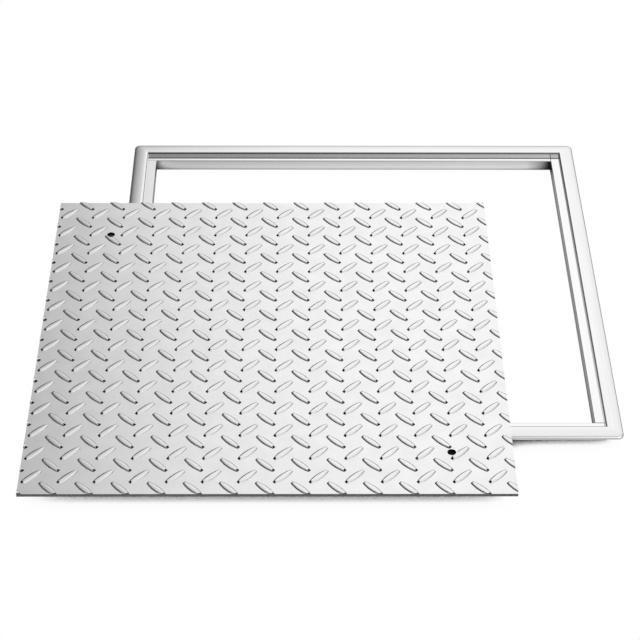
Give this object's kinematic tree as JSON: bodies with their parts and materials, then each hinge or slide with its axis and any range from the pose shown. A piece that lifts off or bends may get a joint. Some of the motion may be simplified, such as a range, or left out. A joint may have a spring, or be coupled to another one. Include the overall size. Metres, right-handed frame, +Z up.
{
  "type": "inspection cover",
  "caption": "Square tread-plate inspection cover lying askew on its shallow recessed frame: crowned mitred rails, support bars inside the lip, and round lifting holes in the plate.",
  "frame": {"origin": "on the floor, under the middle of the box around the frame and the plate as they lie", "axes": "+Z up from the floor, +X to the right along the front rail, +Y to the back rail"},
  "size_m": [0.6126, 0.622, 0.023],
  "materials": {
    "frame_rail": "satin",
    "support_bar": "satin",
    "tread_plate": "rolled"
  },
  "bodies": {
    "root": {"back_rail": "frame_rail", "right_rail": "frame_rail", "front_rail": "frame_rail", "left_rail": "frame_rail", "back_bar": "support_bar", "right_bar": "support_bar", "front_bar": "support_bar", "left_bar": "support_bar", "cover_plate": "tread_plate"}
  },
  "joints": []
}
